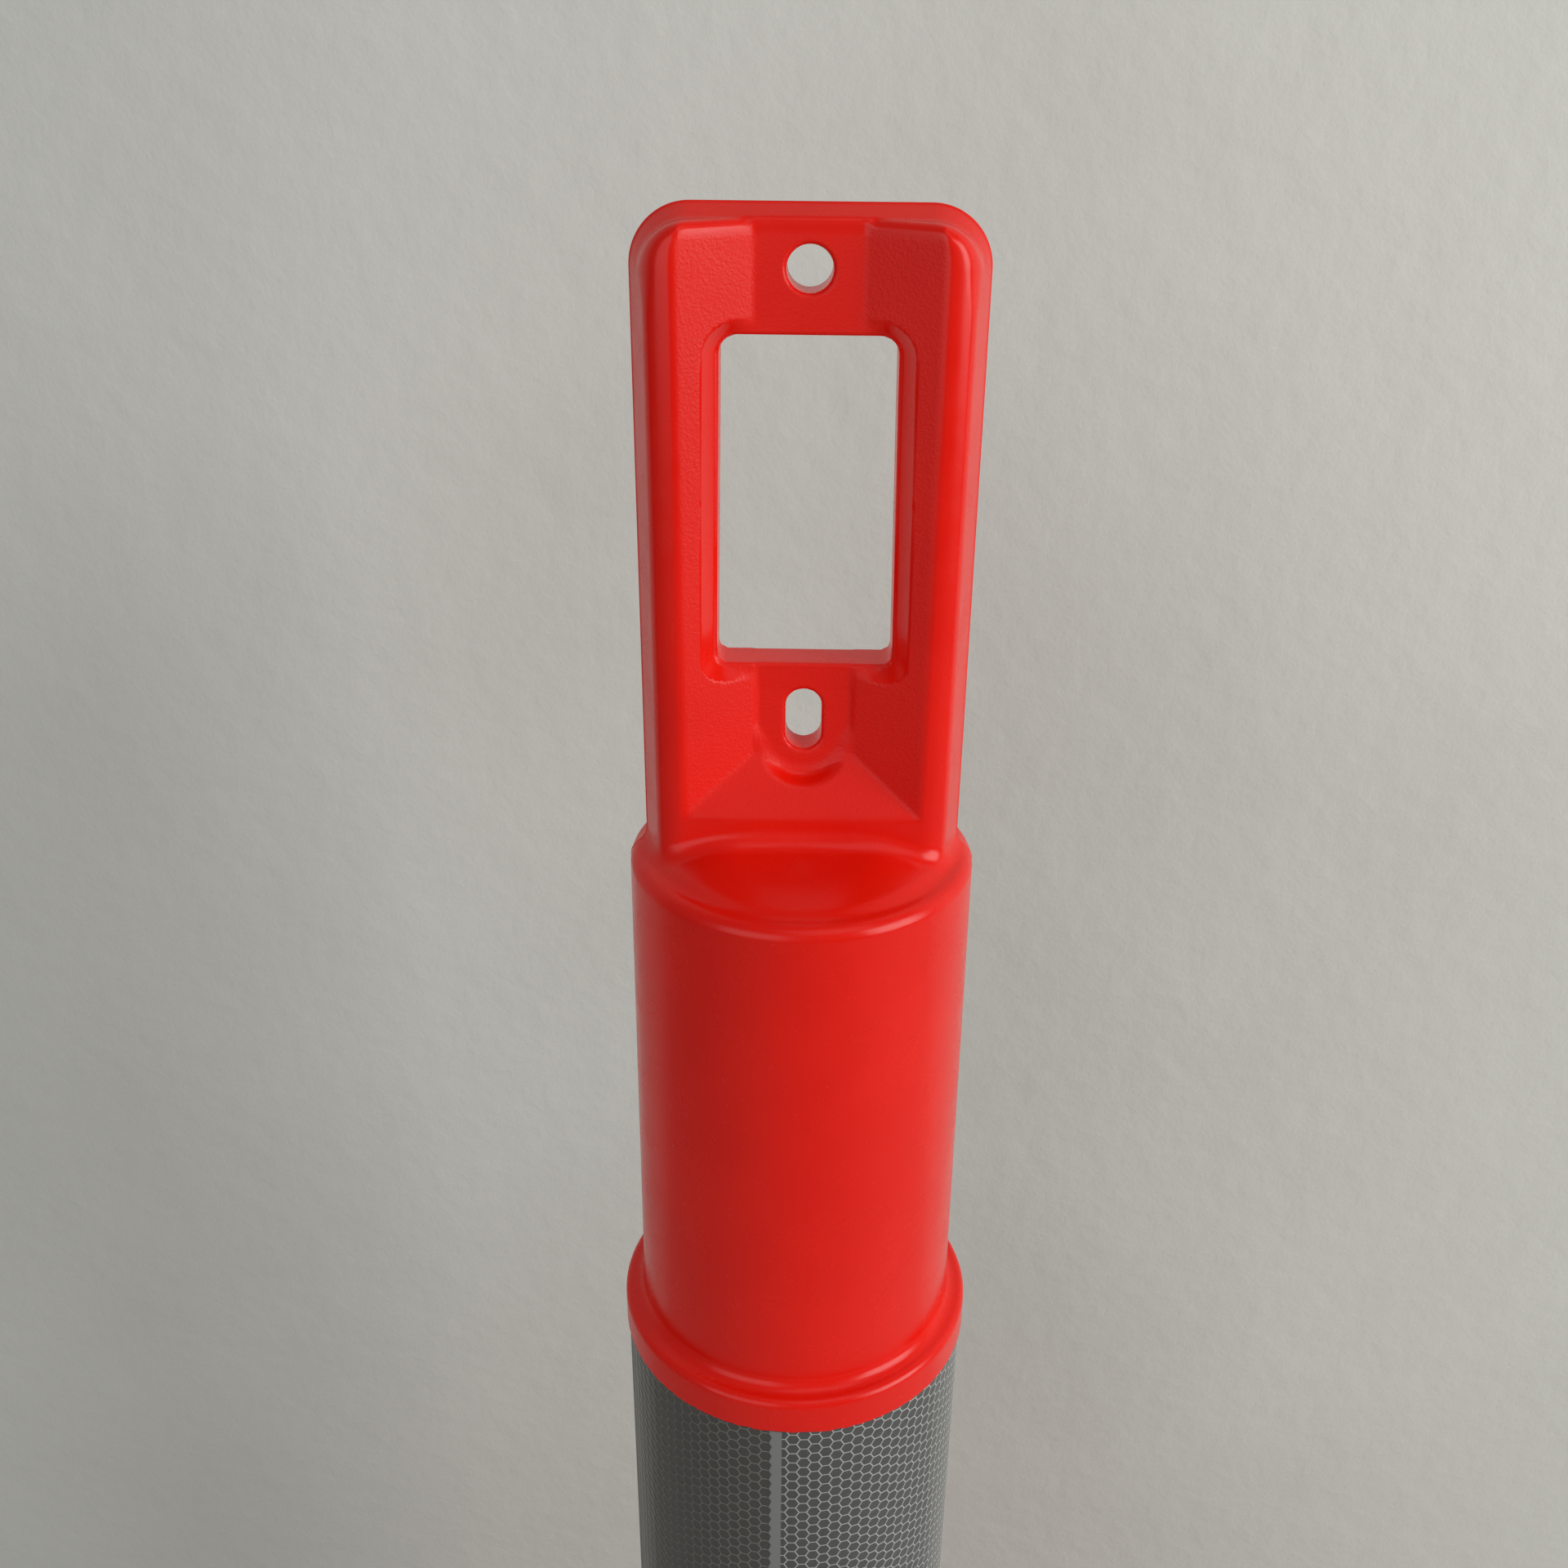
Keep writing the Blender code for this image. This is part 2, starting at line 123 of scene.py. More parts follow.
SHOULDER_DROP = 169.0                # handle's front wall meets the shoulder
SHOULDER_PITCH = 0.26
CONE_DROP = 175.8                    # cone's height at its lower edge
CONE_PITCH = 0.6
CONE_RADIUS = 42.4
CONE_ROUNDING = 3.0
STEP_RADIUS = CONE_RADIUS + 0.8      # soft step from the shoulder to the ledge round it
STEP_ROUNDING = 2.6
STEP_FILLET = 3.2
LEDGE_DROP = 176.15
LEDGE_PITCH = 0.2
SHOULDER_ROUNDING = 3.2
NECK_TOP_RADIUS = 49.7
NECK_LOW_RADIUS = 50.4
COLLAR_RADIUS = HEAD_HIGH.x
COLLAR_HEIGHT = 12.6
COLLAR_ROUNDING = 2.6
COLLAR_FILLET = 4.0
HEAD_WALL = 3.0
SPIGOT_RADIUS = 51.7
SPIGOT_ROUNDING = 0.8
SPIGOT_BORE = 48.7
BORE_STEP = 4.0                      # this far above the rim the bore narrows to the neck's
NECK_BORE = SPIGOT_BORE - 2.0
ROOF_PITCH = 0.25                    # of the hollow's top
ROOF_ROUNDING = 4.0
SMALL_ROUNDING = 0.6                 # on the collar's lower edge and the hollow's mouth
NECK_START = 1.0                     # above the rim, hidden in the collar
SPIGOT_END = 2.0

SAND_EDGE = 1.5                      # the sand texture fades out over this
SAND_DROP = RAMP_TOP_DROP + 16.0     # and stops at the ramp's foot
SAND_FOOT = 2.0
SAND_FACING = 0.75                   # faces turned further from the front stay smooth
SAND_TURN = 0.1

# ---------------------------------------------------------------- film sizes
CELL_HEIGHT = 4.03                   # across the flats of one hexagon
CELL_PITCH = CELL_HEIGHT * math.sqrt(3) / 2
CELL_WALL = 0.50
CELL_SINK = 0.12
WALL_FOOT = 1.4 * CELL_WALL          # each wall widens to this at the cells' floor
LATTICE = 20                         # steps per mm on which cells' shared corners are matched
SHEET_TRIM = 0.5                     # cut off at the start, so that its edge runs through cells
FILM_LAP = 10.0                      # overlap of the film's ends
FILM_MARGIN = 4.0                    # plain strip along its outer end, without cells
MARGIN_SINK = 0.01
MARGIN_TONE = 0.42                   # between the cells' 0 and the walls' 1
# share of the painted shade that the plain strip gets
MARGIN_SHADE = 0.25
SHADE_STRETCH = 95.0                     # the stretch by its end that is painted darker, as painted shade on the side away from the light
SHADE_ONSET = 25.0                    # over which the painted shade sets in
SHADE_EASE_RUN = 48.0                  # towards the very end the painted shade eases off again
SHADE_EASE_SHARE = 0.3
FILM_THICKNESS = 0.45
FILM_CLEAR = 0.02                    # the skin keeps this far inside its outer radius
LAP_DROP = 0.30                      # the start lies this much lower, under the end
FILM_END = math.radians(-93.4)


# ---------------------------------------------------------------- mesh tools
WELD = 0.001                         # corners closer than this are one
FLAT_ANGLE = math.radians(0.4)       # faces within this are one plane
HARD_ANGLE = math.radians(25.0)      # edges past this are rounded over
CREASE_ANGLE = math.radians(38.0)    # edges past this still shade as creases


def link(name, mesh, material, body, replaced=None):
    """Puts a finished mesh in the scene as a piece that rides on a body."""
    piece = bpy.data.objects.new(name, mesh)
    bpy.context.scene.collection.objects.link(piece)
    mesh.materials.append(material)
    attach(piece, body)
    if replaced:
        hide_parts(replaced)
    return piece


def mesh_from(name, points_mm, faces, smooth=True):
    mesh = bpy.data.meshes.new(name)
    mesh.from_pydata((np.asarray(points_mm, float) * MM).tolist(), [], faces)
    mesh.polygons.foreach_set("use_smooth", [smooth] * len(mesh.polygons))
    mesh.update()
    return mesh


def softened(node, body, material, radius, steps):
    """A copy of a CAD node whose hard edges are rounded over."""
    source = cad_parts[node]
    form = bmesh.new()
    form.from_mesh(source.data)
    form.transform(source.matrix_world)
    bmesh.ops.remove_doubles(form, verts=form.verts, dist=WELD * MM)
    bmesh.ops.dissolve_limit(form, angle_limit=FLAT_ANGLE, verts=form.verts, edges=form.edges)
    hard = [e for e in form.edges if e.is_manifold and e.calc_face_angle(0.0) > HARD_ANGLE]
    bmesh.ops.bevel(
        form,
        geom=hard,
        offset=radius * MM,
        offset_type="OFFSET",
        segments=steps,
        profile=0.5,
        affect="EDGES",
        clamp_overlap=True,
    )
    bmesh.ops.triangulate(form, faces=[f for f in form.faces if len(f.verts) > 4])
    mesh = bpy.data.meshes.new(node + "_soft")
    form.to_mesh(mesh)
    form.free()
    mesh.polygons.foreach_set("use_smooth", [True] * len(mesh.polygons))
    mesh.set_sharp_from_angle(angle=CREASE_ANGLE)
    return link(node + "_soft", mesh, material, body, node)


def rounded_both(a, b, radius):
    """Distance to what is inside both fields, with the convex edge rounded."""
    edge = np.hypot(np.maximum(a + radius, 0), np.maximum(b + radius, 0))
    return np.minimum(np.maximum(a, b), -radius) + edge


def filleted_either(a, b, radius):
    """Distance to what is inside either field, with the inner corner filleted."""
    corner = np.hypot(np.maximum(radius - a, 0), np.maximum(radius - b, 0))
    return np.maximum(np.minimum(a, b), radius) - corner


def rounded_rectangle(u, v, half_u, half_v, radius):
    """Signed distance in the plane to a rectangle with round corners."""
    du = np.abs(u) - half_u + radius
    dv = np.abs(v) - half_v + radius
    outside = np.hypot(np.maximum(du, 0), np.maximum(dv, 0))
    return outside + np.minimum(np.maximum(du, dv), 0) - radius


# ---------------------------------------------------------------- head field
def window_field(x, z):
    """Hand window in the plane: a round-cornered opening that widens downwards."""
    middle = TOP_Z - WINDOW_TOP_DROP - WINDOW_HEIGHT / 2
    half = WINDOW_HALF_WIDTH + WINDOW_TAPER * (TOP_Z - WINDOW_TOP_DROP - z)
    corner = np.where(z > middle, WINDOW_CORNER, WINDOW_LOW_CORNER)
    return rounded_rectangle(x, z - middle, half, WINDOW_HEIGHT / 2, corner)


def handle_outline(across, deep, z):
    """Distance to the loop's outline, which draws in away from its ridge."""
    ridge = SEAM_HEIGHT * (1 - np.exp(-(deep / SEAM_HALF_WIDTH) ** 2))
    side = across - LOOP_HALF_WIDTH + SIDE_DRAFT * deep + ridge
    fall = TOP_PITCH * np.minimum(deep, PAD_HALF_DEPTH) + TOP_DRAFT * np.maximum(deep - PAD_HALF_DEPTH, 0)
    over = z - TOP_Z + fall + ridge
    round_off = LOOP_CORNER - CORNER_SHRINK * deep
    corner = np.hypot(np.maximum(side + round_off, 0), np.maximum(over + round_off, 0))
    outline = np.minimum(np.maximum(side, over), -round_off) + corner
    return outline / math.hypot(1, SIDE_DRAFT)


def handle_crown(across, deep, z):
    """Distance to the soft crown that runs round the loop's edge."""
    beside = across - LOOP_HALF_WIDTH + CROWN_WIDTH + CROWN_CORNER
    above = z - TOP_Z + CROWN_TOP_WIDTH + CROWN_CORNER
    beyond = np.hypot(np.maximum(beside, 0), np.maximum(above, 0)) - CROWN_CORNER
    beyond = np.maximum(beyond, 0)
    arc = np.minimum(beyond, CROWN_SWEEP)
    root = np.sqrt(CROWN_RADIUS ** 2 - arc ** 2)
    height = LOOP_HALF_DEPTH - CROWN_RADIUS + root - (beyond - arc) * arc / root
    return (deep - height) * root / CROWN_RADIUS


def handle_field(x, y, z):
    """The grip loop before its holes are cut: its own front face mirrored."""
    across, deep = np.abs(x), np.abs(y)
    near = np.clip((window_field(x, z) - WINDOW_LIP) / WINDOW_FLARE, 0, 1)
    rise = FACET_SLOPE * (across - PAD_HALF_WIDTH) * near
    facet = (deep - PAD_HALF_DEPTH - rise) / math.hypot(1, FACET_SLOPE)
    fall = TOP_Z - RAMP_TOP_DROP - z
    ramp = (deep - PAD_HALF_DEPTH - RAMP_SLOPE * fall) / math.hypot(1, RAMP_SLOPE)
    face = filleted_either(filleted_either(deep - PAD_HALF_DEPTH, facet, FACET_FILLET), ramp, RAMP_FILLET)
    face = rounded_both(face, handle_crown(across, deep, z), CROWN_EASE)
    high_up = np.clip((z - TOP_Z + SOFT_DROP) / SOFT_RISE, 0, 1)
    soft = high_up * np.clip((across - PAD_HALF_WIDTH) / SOFT_EASE, 0, 1)
    rounding = EDGE_ROUNDING + (TOP_ROUNDING - EDGE_ROUNDING) * soft
    return rounded_both(handle_outline(across, deep, z), face, rounding)


def seat_field(x, y, z):
    """Washer seat: the slot's surround, sunk a little and round at its foot."""
    seat_z = TOP_Z - SLOT_DROP - SLOT_LENGTH / 2 + SLOT_RADIUS
    below = np.minimum(z - seat_z, 0)
    plan = np.hypot(x, below) - SEAT_RADIUS
    window_low = TOP_Z - WINDOW_TOP_DROP - WINDOW_HEIGHT
    depth = SEAT_DEPTH * np.clip((window_low - SEAT_END - z) / SEAT_RUN_OUT, 0, 1)
    floor = PAD_HALF_DEPTH - depth - np.abs(y)
    fillet = SEAT_FILLET * np.clip((seat_z + SEAT_FADE_Z - z) / SEAT_FADE_RUN, SEAT_TIGHTEST, 1)
    return rounded_both(np.maximum(plan, z - window_low + SEAT_TOP), floor, fillet)


def bolt_field(x, z):
    """Bolt hole near the top and bolt slot under the window."""
    hole = np.hypot(x, z - (TOP_Z - HOLE_DROP)) - HOLE_RADIUS
    reach = SLOT_LENGTH / 2 - SLOT_RADIUS
    along = z - (TOP_Z - SLOT_DROP)
    slot = np.hypot(x, along - np.clip(along, -reach, reach)) - SLOT_RADIUS
    return np.minimum(hole, slot)


def neck_radius(z):
    """Outer radius of the neck, which has a little draft."""
    top, low = TOP_Z - SHOULDER_DROP, RIM_Z + COLLAR_HEIGHT
    return NECK_LOW_RADIUS + (NECK_TOP_RADIUS - NECK_LOW_RADIUS) * (z - low) / (top - low)


def neck_field(x, y, z):
    """Neck with its stepped shoulder, collar and the spigot inside the tube."""
    radius = np.hypot(x, y)
    seam = SEAM_HEIGHT * np.exp(-(y / SEAM_HALF_WIDTH) ** 2)
    wall = radius - neck_radius(z) - seam
    ledge = (z - TOP_Z + LEDGE_DROP + LEDGE_PITCH * (radius - CONE_RADIUS)) / math.hypot(1, LEDGE_PITCH)
    cone = (z - TOP_Z + CONE_DROP + CONE_PITCH * (radius - CONE_RADIUS)) / math.hypot(1, CONE_PITCH)
    slope = z - TOP_Z + SHOULDER_DROP + SHOULDER_PITCH * (np.abs(y) - LOOP_HALF_DEPTH)
    slope = slope / math.hypot(1, SHOULDER_PITCH)
    raised = rounded_both(cone, slope, CONE_ROUNDING)
    raised = rounded_both(raised, radius - STEP_RADIUS, STEP_ROUNDING)
    top = filleted_either(ledge, raised, STEP_FILLET)
    neck = rounded_both(wall, top, SHOULDER_ROUNDING)
    neck = np.maximum(neck, RIM_Z + NECK_START - z)
    collar = rounded_both(radius - COLLAR_RADIUS, z - RIM_Z - COLLAR_HEIGHT, COLLAR_ROUNDING)
    collar = rounded_both(collar, RIM_Z - z, SMALL_ROUNDING)
    neck = filleted_either(neck, collar, COLLAR_FILLET)
    spigot = rounded_both(radius - SPIGOT_RADIUS, SPIGOT_LOW_Z - z, SPIGOT_ROUNDING)
    spigot = np.maximum(spigot, z - RIM_Z - SPIGOT_END)
    return np.minimum(neck, spigot)


def hollow_field(x, y, z):
    """The room inside the neck, open downwards."""
    radius = np.hypot(x, y)
    bore = np.where(z < RIM_Z + BORE_STEP, SPIGOT_BORE, NECK_BORE)
    roof = z - (TOP_Z - LEDGE_DROP - HEAD_WALL) + ROOF_PITCH * (radius - SPIGOT_BORE)
    return rounded_both(radius - bore, roof, ROOF_ROUNDING)


def head_field(x, y, z):
    """Signed distance to the whole head, negative in its plastic."""
    handle = rounded_both(handle_field(x, y, z), -window_field(x, z), WINDOW_ROUNDING)
    handle = rounded_both(handle, -seat_field(x, y, z), SEAT_ROUNDING)
    handle = rounded_both(handle, -bolt_field(x, z), BOLT_ROUNDING)
    handle = np.maximum(handle, TOP_Z - LEDGE_DROP - HEAD_WALL - z)
    solid = filleted_either(handle, neck_field(x, y, z), FOOT_FILLET)
    return rounded_both(solid, -hollow_field(x, y, z), SMALL_ROUNDING)


# ---------------------------------------------------------------- surface net
SETTLES = 4                          # times the points are moved onto the surface
PROBE = 0.05                         # reach of the slopes they follow
PROBE_WIDE = 0.25                    # reach of the slopes that shade it
LEAST_STEEP = 0.2
LONGEST_STEP = 0.3
CUBE_EDGES = [
    (corner, axis)
    for axis in range(3)
    for corner in np.ndindex(2, 2, 2)
    if corner[axis] == 0
]


def crossing_points(value, grid, cells):
    """Mean of the places where the surface crosses each cell's edges."""
    total = np.zeros((len(cells), 3))
    count = np.zeros(len(cells))
    for corner, axis in CUBE_EDGES:
        start = cells + np.array(corner)
        stop = start.copy()
        stop[:, axis] += 1
        a, b = value[tuple(start.T)], value[tuple(stop.T)]
        crossed = (a < 0) != (b < 0)
        share = np.where(crossed, a / np.where(crossed, a - b, 1.0), 0.0)
        place = np.stack([grid[k][start[:, k]] for k in range(3)], 1)
        step = grid[axis][stop[:, axis]] - grid[axis][start[:, axis]]
        place[:, axis] += share * step
        total += place * crossed[:, None]
        count += crossed
    return total / count[:, None]


def net_faces(inside, index):
    """One quad round every grid edge that crosses the surface, facing out."""
    quads = []
    for axis in range(3):
        ahead = np.roll(inside, -1, axis)
        core = [slice(1, -1)] * 3
        core[axis] = slice(0, -1)
        changed = np.zeros_like(inside)
        changed[tuple(core)] = (inside != ahead)[tuple(core)]
        edge = np.argwhere(changed)
        u, v = (axis + 1) % 3, (axis + 2) % 3
        corners = []
        for du, dv in ((-1, -1), (0, -1), (0, 0), (-1, 0)):
            cell = edge.copy()
            cell[:, u] += du
            cell[:, v] += dv
            corners.append(index[tuple(cell.T)])
        quad = np.stack(corners, 1)
        outward = inside[tuple(edge.T)]
        quads.append(np.where(outward[:, None], quad, quad[:, ::-1]))
    return np.concatenate(quads)


def gradient(field, points, reach):
    """Slope of a field at each point, by central differences."""
    slope = np.empty_like(points)
    for axis in range(3):
        step = np.zeros(3)
        step[axis] = reach
        ahead, behind = points + step, points - step
        slope[:, axis] = (field(*ahead.T) - field(*behind.T)) / (2 * reach)
    return slope


def surface_net(field, grid):
    """Points, quads and normals of a field's zero surface on an uneven grid."""
    value = field(*np.meshgrid(*grid, indexing="ij"))
    inside = value < 0
    filled = np.zeros(tuple(n - 1 for n in inside.shape), int)
    for di, dj, dk in np.ndindex(2, 2, 2):
        shape = filled.shape
        filled += inside[di:di + shape[0], dj:dj + shape[1], dk:dk + shape[2]]
    cells = np.argwhere((filled > 0) & (filled < 8))
    index = np.full(filled.shape, -1)
    index[tuple(cells.T)] = np.arange(len(cells))
    points = crossing_points(value, grid, cells)
    for _ in range(SETTLES):
        slope = gradient(field, points, PROBE)
        steep = np.maximum((slope ** 2).sum(1), LEAST_STEEP)
        step = -(field(*points.T) / steep)[:, None] * slope
        points += np.clip(step, -LONGEST_STEP, LONGEST_STEP)
    normals = gradient(field, points, PROBE_WIDE)
    normals /= np.maximum(np.linalg.norm(normals, axis=1), 1e-9)[:, None]
    return points, net_faces(inside, index), normals


def spaced(*stretches):
    """Grid lines along one axis: (start, end, spacing) stretches, joined."""
    lines = []
    for start, end, spacing in stretches:
        steps = max(int(round((end - start) / spacing)), 1)
        lines.append(np.linspace(start, end, steps + 1)[:-1])
    return np.concatenate([*lines, [stretches[-1][1]]])


def grained(points, normals):
    """1 on the sand-textured faces of the handle's pocket, 0 on smooth plastic."""
    x, y, z = points.T
    side = np.clip((LOOP_HALF_WIDTH - CROWN_WIDTH - np.abs(x)) / SAND_EDGE, 0, 1)
    over = np.clip((TOP_Z - CROWN_TOP_WIDTH - z) / SAND_EDGE, 0, 1)
    under = np.clip((z - TOP_Z + SAND_DROP) / SAND_FOOT, 0, 1)
    facing = np.clip((np.abs(normals[:, 1]) - SAND_FACING) / SAND_TURN, 0, 1)
    return side * over * under * facing


def head_grid():
    """Grid lines round the head: close at its details, wide along plain stretches."""
    fine, coarse, beyond = 0.98, 1.5, 1.5
    edge = COLLAR_RADIUS + beyond
    loop, depth, seam = LOOP_HALF_WIDTH + 1.4, LOOP_HALF_DEPTH + beyond, 2 * SEAM_HALF_WIDTH
    neck_low = RIM_Z + COLLAR_HEIGHT + 6.0
    neck_high = TOP_Z - 184.0
    pads_low, pads_high = TOP_Z - 113.0, TOP_Z - 38.0
    return (
        spaced((-edge, -loop, coarse), (-loop, loop, fine), (loop, edge, coarse)),
        spaced(
            (-edge, -depth, coarse),
            (-depth, -seam, fine),
            (-seam, seam, 0.2),
            (seam, depth, fine),
            (depth, edge, coarse),
        ),
        spaced(
            (SPIGOT_LOW_Z - beyond, SPIGOT_LOW_Z + beyond, 0.8),
            (SPIGOT_LOW_Z + beyond, RIM_Z - beyond, 12.0),
            (RIM_Z - beyond, neck_low, 0.7),
            (neck_low, neck_high, 10.0),
            (neck_high, pads_low, 0.9),
            (pads_low, pads_high, 2.2),
            (pads_high, TOP_Z + beyond, 0.85),
        ),
    )


def make_head(material):
    """The handle, neck, collar and spigot as one moulding."""
    points, quads, normals = surface_net(head_field, head_grid())
    mesh = mesh_from("head_shell", points, quads.tolist())
    mesh.normals_split_custom_set_from_vertices(normals.tolist())
    grain = mesh.attributes.new("grain", "FLOAT", "POINT")
    grain.data.foreach_set("value", grained(points, normals))
    return link("head_shell", mesh, material, "post", "handle_head")


# ---------------------------------------------------------------- film
def hexagon_sheet(width, height):
    """Flat cellular sheet: bmesh with sunk hexagons and raised walls."""
    sheet = bmesh.new()
    shared = {}

    def corner(u, v):
        key = (round(u * LATTICE), round(v * LATTICE))
        if key not in shared:
            shared[key] = sheet.verts.new((u, v, 0.0))
        return shared[key]

    side = CELL_HEIGHT / math.sqrt(3)
    inner = side * (1 - WALL_FOOT / CELL_HEIGHT)
    columns = int(width / CELL_PITCH) + 3
    rows = int(height / CELL_HEIGHT) + 3
    for column in range(columns):
        for row in range(rows):
            u = column * CELL_PITCH
            v = (row + 0.5 * (column % 2) - 0.75) * CELL_HEIGHT
            turns = [math.radians(60 * k) for k in range(6)]
            outer = [corner(u + side * math.cos(t), v + side * math.sin(t)) for t in turns]
            low = [(u + inner * math.cos(t), v + inner * math.sin(t), -CELL_SINK) for t in turns]
            floor = [sheet.verts.new(place) for place in low]
            sheet.faces.new(floor)
            for k in range(6):
                m = (k + 1) % 6
                sheet.faces.new((outer[k], outer[m], floor[m], floor[k]))
    trim = (
        ((SHEET_TRIM, 0, 0), (-1, 0, 0)),
        ((SHEET_TRIM + width, 0, 0), (1, 0, 0)),
        ((0, 0, 0), (0, -1, 0)),
        ((0, height, 0), (0, 1, 0)),
    )
    for place, outward in trim:
        bmesh.ops.bisect_plane(
            sheet,
            geom=sheet.verts[:] + sheet.edges[:] + sheet.faces[:],
            dist=1e-5,
            plane_co=place,
            plane_no=outward,
            clear_outer=True,
        )
    bmesh.ops.translate(sheet, verts=sheet.verts, vec=(-SHEET_TRIM, 0, 0))
    return sheet


def make_film(material):
    """Honeycomb retroreflective film wrapped round the tube, its ends lapped."""
    radius = FILM_HIGH.x
    width = 2 * math.pi * radius + FILM_LAP
    sheet = hexagon_sheet(width, FILM_HIGH.z - FILM_LOW.z)
    rim = [e for e in sheet.edges if e.is_boundary]
    grown = bmesh.ops.extrude_edge_only(sheet, edges=rim)
    for part in grown["geom"]:
        if isinstance(part, bmesh.types.BMVert):
            part.co.z = -FILM_THICKNESS
    bmesh.ops.recalc_face_normals(sheet, faces=sheet.faces)
    tone, dull = [], []
    for vertex in sheet.verts:
        u, v, height = vertex.co
        on_skin = height > -2 * CELL_SINK
        margin = on_skin and u > width - FILM_MARGIN
        if margin:
            height = -MARGIN_SINK
        # Painted shade: the dull values darken the cells over the stretch by the film's end, on the side
        # away from the window light; the shade eases off near the very end and is weaker on the plain
        # strip.
        onset = min(1.0, max(0.0, (u - width + SHADE_STRETCH) / SHADE_ONSET))
        shade_ease = SHADE_EASE_SHARE * max(0.0, 1 - (width - u) / SHADE_EASE_RUN)
        dull.append(MARGIN_SHADE if margin else onset - shade_ease)
        wall = 1 + height / CELL_SINK if on_skin else 0.0
        tone.append(MARGIN_TONE if margin else wall)
        turn = FILM_END + (u - width) / radius
        reach = radius - FILM_CLEAR + height - LAP_DROP * max(0.0, 1 - u / FILM_LAP)
        vertex.co = (reach * math.cos(turn), reach * math.sin(turn), FILM_LOW.z + v)
    mesh = bpy.data.meshes.new("film")
    bmesh.ops.scale(sheet, vec=(MM, MM, MM), verts=sheet.verts)
    sheet.to_mesh(mesh)
    sheet.free()
    # the second attribute carries the painted shade
    for name, values in (("wall", tone), ("painted_shade", dull)):
        mesh.attributes.new(name, "FLOAT", "POINT").data.foreach_set("value", values)
    return link("film", mesh, material, "post", "reflective_band")


# ---------------------------------------------------------------- materials
class Shader:
    """A small helper that adds and joins the nodes of one material."""

    def __init__(self, name):
        self.material = bpy.data.materials.new(name)
        self.material.use_nodes = True
        self.tree = self.material.node_tree
        self.surface = self.tree.nodes["Principled BSDF"]
        self.place = self.node("ShaderNodeTexCoord").outputs["Object"]

    def node(self, kind, **settings):
        made = self.tree.nodes.new(kind)
        for key, value in settings.items():
            setattr(made, key, value)
        return made

    def join(self, source, target):
        self.tree.links.new(source, target)

    def noise(self, scale, detail=3.0, roughness=0.55):
        made = self.node("ShaderNodeTexNoise")
        made.inputs["Scale"].default_value = scale
        made.inputs["Detail"].default_value = detail
        made.inputs["Roughness"].default_value = roughness
        self.join(self.place, made.inputs["Vector"])
        return made.outputs["Fac"]

    def spread(self, value, low, high, to_low, to_high, smooth=True):
        made = self.node("ShaderNodeMapRange", interpolation_type="SMOOTHSTEP" if smooth else "LINEAR")
        made.inputs["From Min"].default_value = low
        made.inputs["From Max"].default_value = high
        made.inputs["To Min"].default_value = to_low
        made.inputs["To Max"].default_value = to_high
        self.join(value, made.inputs["Value"])
        return made.outputs["Result"]

    def math(self, operation, a, b):
        made = self.node("ShaderNodeMath", operation=operation)
        for socket, value in zip(made.inputs, (a, b)):
            if isinstance(value, (int, float)):
                socket.default_value = value
            else:
                self.join(value, socket)
        return made.outputs[0]

    def blend(self, factor, first, second):
        made = self.node("ShaderNodeMix", data_type="RGBA")
        self.join(factor, made.inputs["Factor"])
        for socket, value in ((made.inputs["A"], first), (made.inputs["B"], second)):
            if isinstance(value, tuple):
                socket.default_value = (*value, 1.0)
            else:
                self.join(value, socket)
        return made.outputs["Result"]

    def bump(self, height, distance, strength=1.0):
        made = self.node("ShaderNodeBump")
        made.inputs["Strength"].default_value = strength
        made.inputs["Distance"].default_value = distance
        self.join(height, made.inputs["Height"])
        self.join(made.outputs["Normal"], self.surface.inputs["Normal"])

    def set(self, **values):
        for key, value in values.items():
            self.surface.inputs[key.replace("_", " ")].default_value = value


def red_plastic():
    """Fluorescent red polyethylene: satin, with faint mottling in the colour."""
    look = Shader("red_plastic_moulded")
    tone = look.noise(22.0, 2.0)
    deep, bright = (0.81, 0.0065, 0.0012), (0.86, 0.009, 0.002)
    colour = look.blend(look.spread(tone, 0.3, 0.7, 0, 1), deep, bright)
    look.join(colour, look.surface.inputs["Base Color"])
    grain = look.node("ShaderNodeAttribute", attribute_name="grain").outputs["Fac"]
    gloss = look.spread(look.noise(90.0, 4.0), 0.3, 0.7, 0.22, 0.29)
    look.join(look.math("ADD", gloss, look.math("MULTIPLY", grain, 0.2)), look.surface.inputs["Roughness"])
    sand = look.math("MULTIPLY", look.noise(1300.0, 2.0), look.spread(grain, 0, 1, 0.03, 1.0, False))
    look.bump(sand, 0.00024, 0.6)
    look.set(Specular_IOR_Level=0.32)
    return look.material


